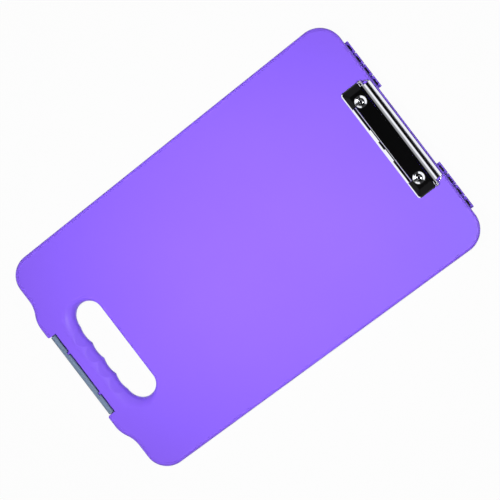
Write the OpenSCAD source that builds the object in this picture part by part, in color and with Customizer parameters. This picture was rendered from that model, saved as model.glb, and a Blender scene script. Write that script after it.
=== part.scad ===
// Storage clipboard box: a shallow case whose lid is a writing board with a clip.
// Millimetres. +Z points out of the writing face and +Y to the hinge and the clip.
// The origin lies on the underside, in the middle of the whole outline.

/* [Case] */
// Width over the side walls at the hinge edge
case_w_hinge = 254.6; // [230:0.1:285]
// Width over the side walls at the latch edge
case_w_latch = 238.2; // [215:0.1:270]
// Length from the hinge edge to the latch edge
case_len = 377.9; // [330:0.1:450]
// Depth of the lower tray
base_h = 17.5; // [16:0.1:32]
// Depth of the lid
lid_h = 10.5; // [9.5:0.1:16]
// Thickness of the upright walls
wall = 2.2; // [1.6:0.1:3]
// Thickness of the writing face and of the floor
face_t = 2.4; // [1.8:0.1:3.2]
// Radius of the two corners at the hinge
hinge_corner_r = 24; // [15:0.5:32]
// Radius of the two corners at the latch
latch_corner_r = 22; // [15:0.5:26]
// Rounding of the outer edges
edge_r = 3; // [2:0.1:4.5]
// Height of the locating rim that stands in the lid
rim_h = 2; // [1:0.1:3.5]
// Thickness of the locating rim
rim_t = 1.3; // [1:0.1:2]
// Gap between the locating rim and the lid's wall
rim_gap = 0.3; // [0.2:0.05:0.5]
// How far the rim is rooted below the parting plane
rim_root = 3; // [2:0.1:5]

/* [Hand hole] */
// Width of the hand hole at its throat
hole_w = 106.4; // [90:0.1:125]
// Height of the hand hole at its throat
hole_h = 26.6; // [24:0.1:34]
// Radius of the hole's two corners on its straight side
hole_corner_r = 12.9; // [10:0.1:13.4]
// Bar that the hand holds, from the throat to the latch notch
bar_w = 21.9; // [18:0.1:28]
// Rounding of the hole on the side of the bar
grip_round = 14.5; // [10:0.1:16]
// Rounding of the hole at its two ends
end_round = 6.5; // [4:0.1:9]
// Rounding of the hole on its straight side
straight_round = 2; // [1:0.1:4]
// Number of finger grooves
fingers = 4; // [2:1:4]
// Spacing of the finger grooves
finger_pitch = 18; // [15:0.1:19]
// Depth of a finger groove at the throat
finger_depth = 1.5; // [0.5:0.1:2.2]
// How far a finger groove is sunk into the rounding of the bar
finger_sink = 1.3; // [0:0.1:1.5]
// How far a finger groove runs out over the bar
finger_reach = 12.5; // [8:0.1:14]

/* [Feet and notch] */
// How far the two feet stand out past the latch edge
foot_out = 7.1; // [5.5:0.1:9]
// Half the width over both feet, to where each begins to sweep back
foot_x = 56.4; // [52:0.1:62]
// Width of the sweep from a foot back to the latch edge
sweep_w = 28; // [22:0.1:32]
// Width of the latch notch
notch_w = 90.8; // [80:0.1:98]
// Depth of the latch notch from the ends of the feet
notch_d = 8.4; // [7.6:0.1:9.6]
// Rounding of a foot's corner at the mouth of the notch
notch_r = 1.9; // [1:0.1:2.4]

/* [Hinge] */
// How far the knuckles stand out past the hinge edge
knuckle_out = 3.8; // [3.3:0.1:4.6]
// Outer radius of a knuckle
knuckle_r = 2.4; // [2.2:0.05:2.6]
// Distance from the side wall to the outer end of a knuckle block
block_in = 30.2; // [26:0.1:45]
// Length of a knuckle block
block_len = 53.2; // [40:0.1:56]
// Knuckles in each block
knuckles = 4; // [2:2:6]
// Gap between two knuckles
knuckle_gap = 0.6; // [0.3:0.05:1]
// Radius of the hinge rods
hinge_pin_r = 1.1; // [1:0.05:1.2]
// Plastic left beyond each end of a hinge rod
pin_cover = 1; // [0.5:0.1:2]
// Length of the slot over the rod in each knuckle
slot_len = 6.4; // [4:0.1:6.6]
// Width of the slot over the rod in each knuckle
slot_w = 1.8; // [1:0.1:1.9]

/* [Latch] */
// Radius of the rolled top of the latch
latch_r = 2.6; // [2.4:0.05:2.8]
// Thickness of the latch's plate
latch_t = 1.9; // [1.5:0.05:2]
// Gap round the latch in its notch
latch_gap = 0.8; // [0.5:0.05:1]
// Depth of the latch's top below the writing face
latch_drop = 0.6; // [0.3:0.05:1.2]
// Height of the latch's lower end above the underside
latch_clear = 2.4; // [1.5:0.1:3.5]
// How far the finger lip at the lower end stands out
finger_lip = 0.9; // [0.3:0.1:1]
// Height of the taper under the hook
hook_low = 0.8; // [0.4:0.1:1.2]
// Thickness of the hook at the latch's lower end
hook_t = 2.4; // [1.8:0.1:3]
// How far the tray's catch stands out into the notch
catch_out = 1.9; // [1.5:0.05:2.2]
// Height of the catch
catch_t = 1.8; // [1.2:0.1:2.5]
// How far the tray's guard stands out under the gap round the latch
guard_out = 1.2; // [0.8:0.1:1.6]
// Play between hook and catch
catch_gap = 0.3; // [0.2:0.05:0.6]
// Distance from the middle to each lug that carries the rod
lug_x = 23.5; // [15:0.1:35]
// Thickness of a lug
lug_t = 2.2; // [1.6:0.1:3]
// Width of the latch's slot round a lug
lug_slot = 3.3; // [3.2:0.1:4.5]
// Radius of the latch's rod
latch_pin_r = 1; // [0.7:0.05:1.1]

/* [Clip] */
// Width of the clip's housing
clip_w = 121.8; // [112:0.1:135]
// Distance from the hinge edge to the thumb edge of the lever
clip_in = 2.5; // [2:0.1:10]
// Height of the housing above the writing face
clip_h = 5.6; // [5.4:0.05:6.5]
// Depth of the housing, from its rear edge to its front rim
housing_d = 19.2; // [18.8:0.1:22]
// Thickness of the sheet metal
sheet_t = 0.8; // [0.6:0.05:0.9]
// Width of the housing's ends, outside its flat top
end_slope = 7.5; // [5:0.1:8.5]
// Depth of the housing's front, outside its flat top
front_slope = 5.6; // [4.9:0.1:5.8]
// Width of the bevel round the outside, below the slopes
edge_in = 1.3; // [0.8:0.05:1.8]
// Drop from the flat top to the upper edge of the bevel
shoulder_drop = 2; // [1.2:0.1:2.4]
// Height of the bevel
bevel_h = 1.1; // [0.6:0.05:1.6]
// Radius of the housing's front corners
clip_corner_r = 3.5; // [2:0.1:5]
// Depth of the window in the housing's front, in which the jaw's lip lies
window_d = 5.5; // [4.9:0.1:5.8]
// Width of each front wing, beside the window
wing_w = 18.1; // [15:0.1:20]
// Depth of the jaw's lip, from front to rear
lip_d = 3.6; // [3.5:0.1:4.2]
// Distance from the middle to the inner end of each pad stamped up in the lip
pad_in = 4.5; // [2:0.1:8]
// Length of each pad
pad_len = 13.5; // [8:0.1:20]
// Distance from a rivet's dish to the lug that holds the jaw's rod
jaw_in = 5.9; // [2:0.1:14]
// Distance from the front rim back to the jaw's rod
jaw_pin_in = 13.2; // [12.4:0.1:13.6]
// Radius of the jaw's rod
jaw_pin_r = 0.6; // [0.5:0.05:0.7]
// Width of each eye of the jaw, and of each lug that holds its rod
eye_w = 1.6; // [1:0.05:2]
// Length of the lever, from its rod to its thumb edge
lever_d = 9.3; // [8.5:0.1:11]
// Distance from each end of the roll to the lever's bar
lever_in = 3.6; // [2:0.1:6]
// Radius of the roll in which the lever turns
roll_r = 2; // [1.8:0.05:2.05]
// Radius of the lever's rod
lever_pin_r = 0.9; // [0.6:0.05:1]
// Height of each head of the lever's rod
pin_head_t = 0.7; // [0.4:0.05:0.9]
// How far the lever's nose, which presses on the jaw, stands out from the roll
nose_out = 1.1; // [0.8:0.05:1.3]
// Depth of the sloping thumb edge
thumb_d = 2.5; // [2:0.1:3]
// Distance from the thumb edge to where the lever's end arms begin
arm_in = 1; // [0.8:0.05:1.3]
// Thickness of an ear
ear_t = 1.2; // [0.8:0.05:1.4]
// Radius of an ear
ear_r = 2.2; // [2:0.05:2.3]
// Distance from the housing's end to the middle of an ear
ear_in = 1.3; // [1:0.05:2]
// Distance from each end of the housing to the rivet
rivet_end = 16.6; // [14.7:0.1:19]
// Distance from the front rim back to the rivets
rivet_in = 11.9; // [11.6:0.1:12.4]
// Radius of a rivet's shank
rivet_r = 1.6; // [1.3:0.05:1.8]
// Radius of a rivet's head
rivet_head_r = 2.65; // [2.3:0.05:2.8]
// Radius of the hole in a rivet's head
rivet_hole_r = 1.15; // [0.8:0.05:1.2]
// Radius of the dished seat of a rivet at its top
dish_r = 6; // [5.6:0.05:6.1]
// Height of the boss under each rivet's seat
boss_h = 2.5; // [1.8:0.1:3]
// Radius of a backing washer
washer_r = 4.5; // [3.5:0.1:6]
// Thickness of a backing washer
washer_t = 0.8; // [0.5:0.05:1.2]
// Thickness of the leaf spring
spring_t = 0.4; // [0.3:0.05:0.5]
// Length of the leaf spring
spring_len = 40; // [30:0.5:48]
// Width of the leaf spring
spring_w = 4; // [3:0.1:4.5]

/* [Fits] */
// Radial clearance of a rod in the piece that turns on it
run_gap = 0.05; // [0.02:0.01:0.1]
// Clearance between pieces that pass each other
pass_gap = 0.3; // [0.25:0.05:0.35]

/* [Hidden] */

plastic = [0.60, 0.45, 1.0];
latch_grey = [0.47, 0.55, 0.65];
chrome = [0.80, 0.81, 0.83];
steel = [0.62, 0.63, 0.65];

corner_steps = 10;
sweep_steps = 5;
edge_steps = 5;
round_steps = 6;
finger_steps = 6;
overcut = 1;
$fn = 32;

// Lines across the case, along Y
total_len = foot_out + case_len + knuckle_out;
y_foot = -total_len / 2;
y_latch = y_foot + foot_out;
y_hinge = y_latch + case_len;
y_notch = y_foot + notch_d;
y_hole = y_notch + bar_w + hole_h / 2;
y_middle = (y_foot + y_hinge) / 2;
top_z = base_h + lid_h;

// Hinge
block_x = case_w_hinge / 2 - block_in - block_len;
pitch = block_len / knuckles;
leaf_h = knuckle_r - 0.3;
y_hinge_pin = y_hinge + knuckle_out - knuckle_r;

// Latch, and the same from the middle of its rod
y_latch_pin = y_notch - latch_gap - latch_r;
z_latch_pin = top_z - latch_drop - latch_r;
latch_pin_len = notch_w + 1.6 * wall;
latch_w = notch_w - 2 * latch_gap;
lug_r = latch_pin_r + 0.7;
latch_low = latch_clear - z_latch_pin;
hook_top = latch_low + hook_low + hook_t;
hook_tip = latch_r + latch_gap - 0.9;
plate_in = latch_t - latch_r;
catch_x = notch_w / 2 - 4;
guard_h = latch_clear - 0.6;

// Clip: lines across it along Y, distances from the middle, and heights above the writing face
y_lever_pin = y_hinge - clip_in - lever_d;
y_rear = y_lever_pin - roll_r - pass_gap;
y_rim = y_rear - housing_d;
y_jaw_pin = y_rim + jaw_pin_in;
y_rivet = y_rim + rivet_in;
eye_r = jaw_pin_r + 0.6;
z_lever_pin = clip_h - roll_r;
z_jaw_pin = clip_h - sheet_t - eye_r - pass_gap;
jaw_lift = z_jaw_pin - jaw_pin_r - pass_gap - sheet_t;
shoulder_z = clip_h - shoulder_drop;
seat_r = rivet_r + 2;
lip_w = clip_w - 2 * wing_w - 2 * pass_gap;
rivet_x = clip_w / 2 - rivet_end;
jaw_w = 2 * (rivet_x - dish_r - jaw_in - eye_w - pass_gap);
ear_x = clip_w / 2 - ear_in;
roll_w = 2 * (ear_x - ear_t / 2 - pass_gap);
lever_w = roll_w - 2 * lever_in;
nose_r = roll_r + nose_out;
strap_t = sheet_t / 2;

// The outline: each point is [x, y, normal x, normal y]
taper = atan((case_w_hinge - case_w_latch) / 2 / case_len);
function side_x(y) = (case_w_latch + (case_w_hinge - case_w_latch) * (y - y_latch) / case_len) / 2;
function corner_x(y, r) = side_x(y) - r / cos(taper);
function arc(c, r, from, to, steps, first = 0, out = 1) =
    [for (i = [first : steps]) let (a = from + (to - from) * i / steps)
        [c[0] + r * cos(a), c[1] + r * sin(a), out * cos(a), out * sin(a)]];

// A foot sweeps back to the latch edge in two equal arcs, one bulging and one hollow
sweep_a = 2 * atan(foot_out / sweep_w);
sweep_r = sweep_w / 2 / sin(sweep_a);
y_corner_latch = y_latch + latch_corner_r;
y_corner_hinge = y_hinge - hinge_corner_r;
right_side = concat(
    arc([foot_x, y_foot + sweep_r], sweep_r, -90, -90 + sweep_a, sweep_steps),
    arc([foot_x + sweep_w, y_latch - sweep_r], sweep_r, 90 + sweep_a, 90, sweep_steps, 1, -1),
    arc([corner_x(y_corner_latch, latch_corner_r), y_corner_latch], latch_corner_r,
        -90, -taper, corner_steps),
    arc([corner_x(y_corner_hinge, hinge_corner_r), y_corner_hinge], hinge_corner_r,
        -taper, 90, corner_steps));
outline = concat(right_side,
    [for (i = [len(right_side) - 1 : -1 : 0]) let (p = right_side[i]) [-p[0], p[1], -p[2], p[3]]]);

function inset_2d(d) = [for (p = outline) [p[0] - d * p[2], p[1] - d * p[3]]];
function at_height(points, z) = [for (p = points) [p[0], p[1], z]];

// The hand hole: each point is [x, y, normal x, normal y, depth share of a finger groove]. Its
// corners are quarters of ellipses: round on the straight side, and longer beside the grooves.
finger_span = fingers * finger_pitch;
function quarter(c, r, from, first = 0) =
    [for (i = [first : corner_steps]) let (a = from + 90 * i / corner_steps,
            n = [cos(a) / r[0], sin(a) / r[1]] / norm([cos(a) / r[0], sin(a) / r[1]]))
        [c[0] + r[0] * cos(a), c[1] + r[1] * sin(a), n[0], n[1], 0]];
function groove_share(x) =
    let (u = (x + finger_span / 2) / finger_pitch, f = u - floor(min(u, fingers - 0.001)))
    max(0, 1 - pow(2 * f - 1, 2));
hole_end_x = hole_w / 2 - hole_corner_r;
hole_end_y = hole_h / 2 - hole_corner_r;
low_corner = [(hole_w - finger_span) / 2, hole_h - hole_corner_r];
hole_edge = concat(
    quarter([finger_span / 2, hole_end_y], low_corner, -90),
    quarter([hole_end_x, hole_end_y], [hole_corner_r, hole_corner_r], 0, 1),
    quarter([-hole_end_x, hole_end_y], [hole_corner_r, hole_corner_r], 90),
    quarter([-finger_span / 2, hole_end_y], low_corner, 180, 1),
    [for (i = [1 : fingers * finger_steps - 1])
        let (x = finger_span * (i / (fingers * finger_steps) - 1 / 2))
        [x, -hole_h / 2, 0, -1, groove_share(x)]]);
// The rounding widens from the straight side (normal +Y) over the ends to the bar (normal -Y)
function round_w(n) = end_round + (straight_round - grip_round) / 2 * n
    + ((straight_round + grip_round) / 2 - end_round) * n * n;
function hole_ring(a, h, spread, z) = [for (p = hole_edge)
    let (w = round_w(p[3]), run = w * (1 - sin(a)),
         groove = max(0, p[4] - pow(run / finger_reach, 2)),
         out = run + finger_depth * groove + spread,
         sink = finger_sink * groove * min(1, 2 * run / finger_reach))
    [p[0] + out * p[2], y_hole + p[1] + out * p[3],
     is_undef(z) ? h - min(w, h) * (1 - cos(a)) - sink : z]];

// A closed skin over rings of equally many points, listed from the lowest to the highest.
// Each cap is a fan about [0, mid_y].
module loft(rings, mid_y) {
    n = len(rings[0]);
    last = len(rings) - 1;
    points = concat([for (r = rings) each r],
        [[0, mid_y, rings[0][0][2]], [0, mid_y, rings[last][0][2]]]);
    low_mid = n * (last + 1);
    sides = [for (k = [0 : last - 1], i = [0 : n - 1]) let (j = (i + 1) % n, a = k * n, b = a + n)
        each [[a + i, b + i, b + j], [a + i, b + j, a + j]]];
    low_cap = [for (i = [0 : n - 1]) [low_mid, i, (i + 1) % n]];
    high_cap = [for (i = [0 : n - 1]) [low_mid + 1, last * n + (i + 1) % n, last * n + i]];
    polyhedron(points, concat(sides, low_cap, high_cap), convexity = 6);
}

// A profile drawn in the YZ plane, run along X about x = 0
module along_x(length) {
    rotate([90, 0, 90]) linear_extrude(length, center = true) children();
}
module rod(r, length, y, z) {
    translate([-length / 2, y, z]) rotate([0, 90, 0]) cylinder(r = r, h = length);
}
module both_sides() {
    children();
    mirror([1, 0, 0]) children();
}

// The two shells are alike, so each half is drawn from the parting plane, z = 0, outwards.

module outer_form(h) {
    loft(concat(
        [at_height(inset_2d(0), 0)],
        [for (i = [0 : edge_steps]) let (a = 90 * i / edge_steps)
            at_height(inset_2d(edge_r * (1 - cos(a))), h - edge_r * (1 - sin(a)))]), y_middle);
}

module hole_form(h, spread) {
    loft(concat(
        [hole_ring(90, h, spread, -overcut)],
        [for (i = [round_steps : -1 : 0]) hole_ring(90 * i / round_steps, h, spread)],
        [hole_ring(0, h, spread, h + overcut)]), y_hole);
}

module notch_form(grow, h) {
    half_w = notch_w / 2 + grow;
    translate([0, 0, -overcut]) linear_extrude(h + 2 * overcut) {
        translate([-half_w, y_foot - edge_r]) square([2 * half_w, notch_d + edge_r + grow]);
        if (grow == 0) for (side = [-1, 1]) difference() {
            translate([side * (half_w + notch_r / 2), y_foot - notch_r / 2])
                square([notch_r, 3 * notch_r], center = true);
            translate([side * (half_w + notch_r), y_foot + notch_r]) circle(notch_r);
        }
    }
}

module half_shell(h) {
    difference() {
        outer_form(h);
        difference() {
            translate([0, 0, -overcut]) linear_extrude(h - face_t + overcut) polygon(inset_2d(wall));
            hole_form(h, wall);
            notch_form(wall, h);
        }
        hole_form(h, 0);
        notch_form(0, h);
    }
}

// Knuckles of the two shells alternate from the inner end of each block, the tray's first.
// Each stands on a leaf that lies above (leaf_z = 0) or below the parting plane.
module knuckle_row(first, leaf_z) {
    leaf_y = y_hinge_pin - y_hinge + wall / 2;
    both_sides() for (k = [first : 2 : knuckles - 1])
        translate([block_x + k * pitch + knuckle_gap / 2, y_hinge_pin, base_h])
            rotate([90, 0, 90]) linear_extrude(pitch - knuckle_gap) {
                circle(knuckle_r);
                translate([-leaf_y, leaf_z]) square([leaf_y, leaf_h]);
            }
}

// Room in one shell for the other shell's knuckles
module knuckle_pockets(first) {
    both_sides() for (k = [first : 2 : knuckles - 1])
        translate([block_x + k * pitch, y_hinge_pin, base_h]) rotate([0, 90, 0])
            cylinder(r = knuckle_r + pass_gap, h = pitch);
}

module rod_bores(r, cover) {
    both_sides() translate([block_x + cover, y_hinge_pin, base_h]) rotate([0, 90, 0])
        cylinder(r = r, h = block_len - 2 * cover);
}

module rod_slots() {
    both_sides() for (k = [0 : knuckles - 1])
        translate([block_x + (k + 1 / 2) * pitch, y_hinge_pin, base_h + knuckle_r])
            cube([slot_len, slot_w, 2 * knuckle_r], center = true);
}

module locating_rim() {
    low = base_h - rim_root;
    difference() {
        union() {
            translate([0, 0, low]) linear_extrude(rim_root + rim_h)
                polygon(inset_2d(wall + rim_gap));
            translate([0, 0, low]) linear_extrude(rim_root) polygon(inset_2d(wall * 0.8));
        }
        translate([0, 0, low - overcut]) linear_extrude(rim_root + rim_h + 2 * overcut)
            polygon(inset_2d(wall + rim_gap + rim_t));
        translate([0, 0, low]) notch_form(wall + rim_gap, rim_root + rim_h);
    }
}

// The ledge under which the latch hooks
module catch() {
    z = z_latch_pin + hook_top + catch_gap;
    bevel = catch_out / 2;
    along_x(2 * catch_x) polygon([
        [y_notch + wall / 2, z], [y_notch - catch_out, z], [y_notch - catch_out, z + catch_t - bevel],
        [y_notch - catch_out + bevel, z + catch_t], [y_notch + wall / 2, z + catch_t]]);
}

// A low guard round the foot of the notch closes the gap round the latch to the eye
module guard() {
    y_open = y_latch_pin - latch_r;
    linear_extrude(guard_h) difference() {
        translate([-notch_w / 2 - wall / 2, y_open])
            square([notch_w + wall, y_notch + wall / 2 - y_open]);
        translate([guard_out - notch_w / 2, y_open - overcut])
            square([notch_w - 2 * guard_out, y_notch - guard_out - y_open + overcut]);
    }
}

module base_shell() {
    color(plastic) difference() {
        union() {
            difference() {
                translate([0, 0, base_h]) mirror([0, 0, 1]) half_shell(base_h);
                knuckle_pockets(1);
            }
            knuckle_row(0, -leaf_h);
            locating_rim();
            catch();
            guard();
        }
        rod_bores(hinge_pin_r, pin_cover);
        rod_slots();
    }
}

// Each lug holds the latch's rod in a seat that is open above
module latch_lugs() {
    arm = y_notch - y_latch_pin + wall / 2;
    arm_top = -1.1;
    seat_top = 0.3;
    for (side = [-1, 1]) translate([side * lug_x, y_latch_pin, z_latch_pin]) along_x(lug_t) {
        intersection() {
            circle(lug_r);
            translate([-lug_r, seat_top - 2 * lug_r]) square(2 * lug_r);
        }
        polygon([[0, arm_top], [arm, arm_top], [arm, arm_top - 2.3], [0.9, arm_top - 0.4]]);
    }
}

module lid_shell() {
    color(plastic) difference() {
        union() {
            difference() {
                translate([0, 0, base_h]) half_shell(lid_h);
                knuckle_pockets(0);
            }
            knuckle_row(1, 0);
            latch_lugs();
            both_sides() translate([rivet_x, y_rivet, top_z - face_t / 2])
                cylinder(r = seat_r, h = face_t / 2 + boss_h);
        }
        rod_bores(hinge_pin_r + run_gap, pin_cover - pass_gap);
        rod_slots();
        rod(latch_pin_r, latch_pin_len, y_latch_pin, z_latch_pin);
        both_sides() translate([rivet_x, y_rivet, top_z - face_t - overcut])
            cylinder(r = rivet_r, h = face_t + boss_h + 2 * overcut);
    }
}

module hinge_pin() {
    translate([block_x + pin_cover, y_hinge_pin, base_h]) rotate([0, 90, 0])
        cylinder(r = hinge_pin_r, h = block_len - 2 * pin_cover);
}
module hinge_pin_right() { color(steel) hinge_pin(); }
module hinge_pin_left() { color(steel) mirror([1, 0, 0]) hinge_pin(); }

// The latch's section: a roll, a plate down to a hook (inwards) and a finger lip (outwards)
module latch_profile() {
    lip_y = -latch_r - finger_lip;
    circle(latch_r);
    polygon([[-latch_r, 0], [-latch_r, hook_top + hook_t], [lip_y, hook_top - hook_t], [lip_y, latch_low],
        [plate_in - finger_lip, latch_low], [hook_tip, hook_top - hook_t / 2], [hook_tip, hook_top],
        [plate_in, hook_top], [plate_in, 0]]);
}

module latch() {
    slot_y = 0.4;
    color(latch_grey) translate([0, y_latch_pin, z_latch_pin]) difference() {
        along_x(latch_w) latch_profile();
        rod(latch_pin_r + run_gap, latch_w + 2 * overcut, 0, 0);
        for (side = [-1, 1]) translate([side * lug_x, 0, 0]) along_x(lug_slot) {
            circle(lug_r + pass_gap);
            translate([slot_y, -latch_r - overcut]) square([latch_r, 2 * (latch_r + overcut)]);
        }
    }
}
module latch_pin() { color(steel) rod(latch_pin_r, latch_pin_len, y_latch_pin, z_latch_pin); }

// The pieces of the clip are drawn from the writing face up, at z = 0.
module on_lid() { translate([0, 0, top_z]) children(); }

// The housing's outside: a flat top, gently sloping borders, a bevel and an upright edge. Its
// inside is the same form, lowered by a sheet, drawn in by shrink and run on past the rear.
module housing_form(shrink, past_rear) {
    flat_x = clip_w / 2 - end_slope;
    flat_y = y_rim + front_slope;
    hull() {
        translate([-flat_x, flat_y, 0]) cube([2 * flat_x, y_rear + past_rear - flat_y, clip_h]);
        both_sides() {
            housing_step(shrink, past_rear, clip_corner_r, shoulder_z - bevel_h);
            housing_step(edge_in + shrink, past_rear, clip_corner_r - edge_in, shoulder_z);
        }
    }
}

// The right half of the housing's outline at one height: drawn in by inset, front corner radius r
module housing_step(inset, past_rear, r, h) {
    translate([clip_w / 2 - inset - r, y_rim + inset + r, 0]) cylinder(r = r, h = h);
    translate([clip_w / 2 - inset - r, y_rear + past_rear - 1, 0]) cube([r, 1, h]);
}

module rivet_dish() {
    seat_z = boss_h + sheet_t;
    rotate_extrude() polygon([[rivet_r, boss_h], [seat_r, boss_h], [dish_r, clip_h - sheet_t],
        [dish_r, clip_h], [dish_r - 0.1, clip_h], [seat_r - sheet_t / 2, seat_z], [rivet_r, seat_z]]);
}

module ear() {
    post_y = ear_r - 0.2;
    ear_foot = 1;
    translate([ear_x, 0, 0]) along_x(ear_t) difference() {
        union() {
            translate([y_lever_pin, z_lever_pin]) circle(ear_r);
            translate([y_lever_pin - post_y, 0]) square([2 * post_y, z_lever_pin]);
            translate([y_rear - 2 * ear_r, 0]) square([3 * ear_r, ear_foot]);
        }
        translate([y_lever_pin, z_lever_pin]) circle(lever_pin_r);
    }
}

// A flat strap that joins the feet of the two ears under the lever
module strap() {
    front = y_rear - 1;
    translate([-ear_x, front, 0]) cube([2 * ear_x, y_lever_pin - 0.6 * roll_r - front, strap_t]);
}

// An eye round the jaw's rod, on a stem between the heights low and high
module jaw_eye(bore_r, low, high) {
    along_x(eye_w) translate([y_jaw_pin, 0]) difference() {
        union() {
            translate([0, z_jaw_pin]) circle(eye_r);
            translate([0.1 - eye_r, low]) square([2 * (eye_r - 0.1), high - low]);
        }
        translate([0, z_jaw_pin]) circle(bore_r);
    }
}

module clip_plate() {
    window_w = lip_w + 2 * pass_gap;
    color(chrome) on_lid() {
        difference() {
            housing_form(0, 0);
            translate([0, 0, -sheet_t]) housing_form(sheet_t, overcut);
            translate([-window_w / 2, y_rim - overcut, -overcut])
                cube([window_w, window_d + overcut, clip_h + 2 * overcut]);
            both_sides() translate([rivet_x, y_rivet, 0]) cylinder(r = dish_r - 0.2, h = clip_h + overcut);
        }
        strap();
        both_sides() {
            translate([rivet_x, y_rivet, 0]) rivet_dish();
            ear();
            translate([jaw_w / 2 + pass_gap + eye_w / 2, 0, 0])
                jaw_eye(jaw_pin_r, z_jaw_pin, clip_h - sheet_t / 2);
        }
    }
}

// A bent sheet in profile: a line of points, thickened up and down
module bent_sheet(line) {
    polygon(concat([for (p = line) p + [0, sheet_t / 2]],
        [for (i = [len(line) - 1 : -1 : 0]) line[i] - [0, sheet_t / 2]]));
}

module clip_jaw() {
    mid_z = jaw_lift + sheet_t / 2;
    rear = y_lever_pin - nose_r - 0.5;
    lip_line = [[0.45, 0.55], [2.4, mid_z + 0.2], [2.8, mid_z + 0.2], [lip_d, mid_z - 0.1],
                [lip_d + 0.3, mid_z + 0.3], [window_d - 0.75, 2 * mid_z]];
    pad_line = [[2, mid_z - 0.1], [lip_d, mid_z + 1.2], [lip_d + 0.6, mid_z + 1.2]];
    color(chrome) on_lid() {
        translate([0, y_rim, 0]) along_x(lip_w) bent_sheet(lip_line);
        translate([-jaw_w / 2, y_rim + lip_d - 0.1, jaw_lift])
            cube([jaw_w, rear - y_rim - lip_d + 0.1, sheet_t]);
        both_sides() {
            translate([pad_in + pad_len / 2, y_rim, 0]) along_x(pad_len) bent_sheet(pad_line);
            translate([jaw_w / 2 - eye_w / 2, 0, 0])
                jaw_eye(jaw_pin_r + run_gap, jaw_lift + sheet_t / 2, z_jaw_pin);
        }
    }
}
module clip_jaw_pin() {
    color(steel) on_lid() rod(jaw_pin_r, jaw_w + 2 * (pass_gap + eye_w), y_jaw_pin, z_jaw_pin);
}

// The curved end of the lever's bar: a quarter of an ellipse that runs into the end of the roll
module lever_arm() {
    long_x = lever_in + arm_in;
    long_y = lever_d - arm_in - roll_r / 2;
    translate([roll_w / 2 - long_x, roll_r / 2, -1.2]) linear_extrude(1)
        polygon(concat(
            [for (i = [0 : corner_steps]) let (a = 90 * i / corner_steps)
                [long_x * cos(a), long_y * sin(a)]],
            [for (i = [corner_steps : -1 : 0]) let (a = 90 * i / corner_steps)
                [(long_x - sheet_t) * cos(a), (long_y - sheet_t) * sin(a)]]));
}

module clip_lever() {
    bar_line = [[0, roll_r - sheet_t / 2], [2.3, 0.6], [3.9, -0.35], [lever_d - thumb_d - 0.5, -0.55],
                [lever_d - thumb_d, -0.05], [lever_d, -1.3]];
    nose_t = 0.8;
    flat_front = -0.7 * roll_r;
    color(chrome) on_lid() translate([0, y_lever_pin, z_lever_pin]) difference() {
        union() {
            along_x(roll_w) circle(roll_r - 0.1);
            along_x(lever_w) {
                translate([flat_front, 0]) square([-flat_front, roll_r]);
                bent_sheet(bar_line);
            }
            along_x(jaw_w - 4 * eye_w) translate([-nose_r, -nose_t / 2]) square([nose_r, nose_t]);
            both_sides() lever_arm();
        }
        rod(lever_pin_r + run_gap, roll_w + 2 * overcut, 0, 0);
    }
}
module clip_lever_pin() {
    color(steel) on_lid() {
        rod(lever_pin_r, 2 * ear_x + ear_t, y_lever_pin, z_lever_pin);
        both_sides() translate([ear_x + ear_t / 2, y_lever_pin, z_lever_pin]) rotate([0, 90, 0])
            cylinder(r = lever_pin_r + 0.6, h = pin_head_t);
    }
}

module clip_spring() {
    rise = clip_h - 2 * sheet_t - jaw_lift - spring_t;
    bow_r = (spring_len * spring_len / 4 + rise * rise) / (2 * rise);
    half_a = asin(spring_len / 2 / bow_r);
    y_mid = (y_rim + window_d + y_jaw_pin - eye_r) / 2;
    color(steel) on_lid() translate([0, y_mid + spring_w / 2, clip_h - sheet_t - bow_r - spring_t])
        rotate([90, 0, 0]) rotate([0, 0, 90 - half_a]) rotate_extrude(angle = 2 * half_a)
            translate([bow_r, 0]) square([spring_t, spring_w]);
}

module rivet() {
    seat_z = boss_h + sheet_t;
    top = seat_z + 0.8;
    tail_z = -face_t - washer_t;
    rotate_extrude() polygon([[rivet_hole_r, tail_z - 0.6], [rivet_r + 0.6, tail_z - 0.6],
        [rivet_r + 0.8, tail_z], [rivet_r, tail_z], [rivet_r, seat_z], [rivet_head_r, seat_z],
        [rivet_head_r, top - 0.65], [rivet_head_r - 0.65, top - 0.1], [rivet_head_r - 0.85, top],
        [rivet_hole_r, top - 0.5]]);
}
module clip_rivets() {
    color(chrome) on_lid() both_sides() translate([rivet_x, y_rivet, 0]) rivet();
}
module rivet_washers() {
    color(steel) on_lid() both_sides() translate([rivet_x, y_rivet, -face_t - washer_t])
        difference() {
            cylinder(r = washer_r, h = washer_t);
            translate([0, 0, -overcut]) cylinder(r = rivet_r, h = washer_t + 2 * overcut);
        }
}

base_shell();
lid_shell();
hinge_pin_left();
hinge_pin_right();
latch();
latch_pin();
clip_plate();
clip_jaw();
clip_jaw_pin();
clip_lever();
clip_lever_pin();
clip_spring();
clip_rivets();
rivet_washers();
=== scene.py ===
from math import asin, atan, cos, pi, radians, sin

import bmesh
import bpy
from mathutils import Matrix, Vector


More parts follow.
